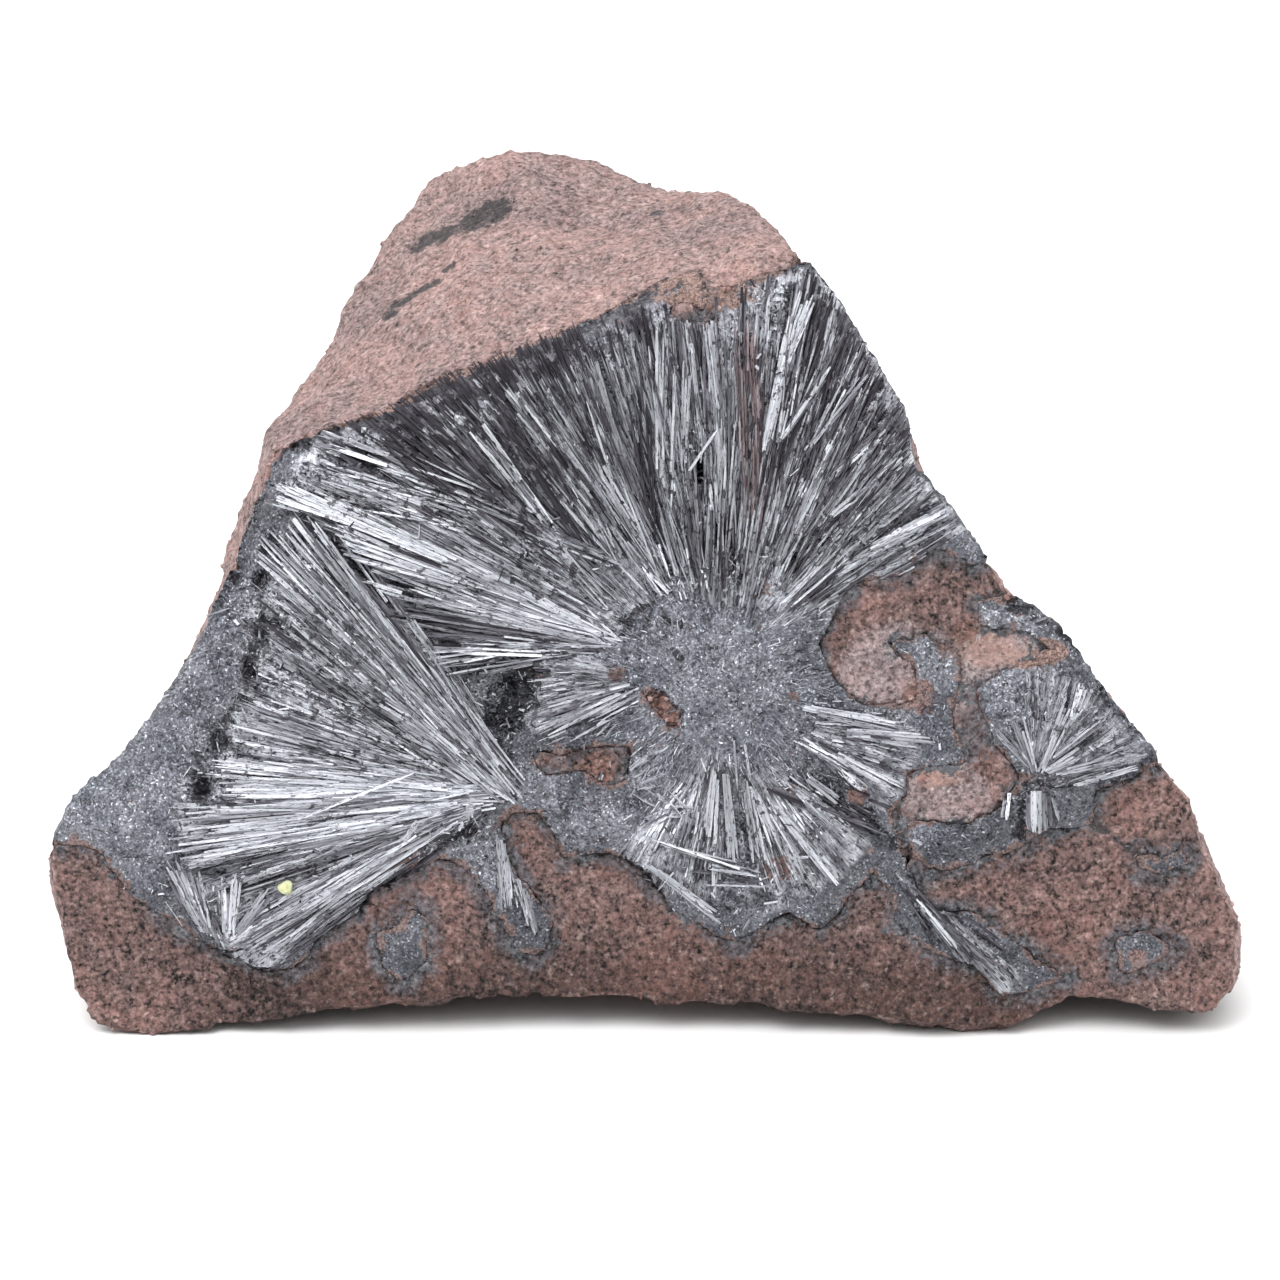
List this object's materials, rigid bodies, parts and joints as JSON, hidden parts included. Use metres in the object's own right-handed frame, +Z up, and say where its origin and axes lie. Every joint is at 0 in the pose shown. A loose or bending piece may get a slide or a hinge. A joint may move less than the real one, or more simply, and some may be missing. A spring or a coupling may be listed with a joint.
{
  "type": "pyrolusite specimen",
  "caption": "Triangular block of brown sandstone with a silvery crust of radiating needles of pyrolusite on its broken face; stands on its own as a display mineral.",
  "frame": {"origin": "middle of the specimen's footprint, on the surface it stands on", "axes": "+X along the face to its right-hand corner, -Y out of the crystal face, +Z up"},
  "size_m": [0.0918, 0.0568, 0.0597],
  "materials": {
    "sandstone": "fine-grained reddish-brown sandstone, matt, pinkish where weathered",
    "pyrolusite": "silvery steel-grey metallic needles and glittering granular ore"
  },
  "bodies": {
    "root": {"matrix": "sandstone", "pyrolusite_crust": "pyrolusite", "pyrolusite_corner_spray": "pyrolusite", "pyrolusite_low_patch": "pyrolusite", "pyrolusite_side_patch": "pyrolusite", "pyrolusite_vein_patch": "pyrolusite"}
  },
  "joints": []
}
